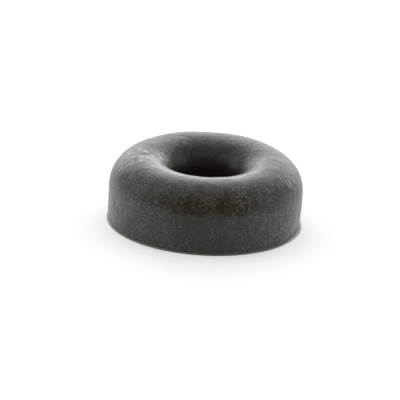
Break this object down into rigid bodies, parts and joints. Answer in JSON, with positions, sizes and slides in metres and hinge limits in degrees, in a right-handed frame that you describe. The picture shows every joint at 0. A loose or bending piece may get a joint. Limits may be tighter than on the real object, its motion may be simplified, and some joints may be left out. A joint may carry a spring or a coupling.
{
  "type": "rubber stopper",
  "caption": "Round moulded rubber stopper ring with a flat seat, a straight wall, a full-round crest and a plain central bore that flares out at the top.",
  "frame": {"origin": "centre of the flat seat, on the axis of the bore", "axes": "+Z along the bore, from the seat towards the rounded crest; the ring is the same all round Z"},
  "size_m": [0.0302, 0.0302, 0.0108],
  "materials": {
    "rubber": "matt black moulded rubber, dusty, with a pale bloom and rub marks on the crest"
  },
  "bodies": {
    "root": {"stopper_ring": "rubber"}
  },
  "joints": []
}
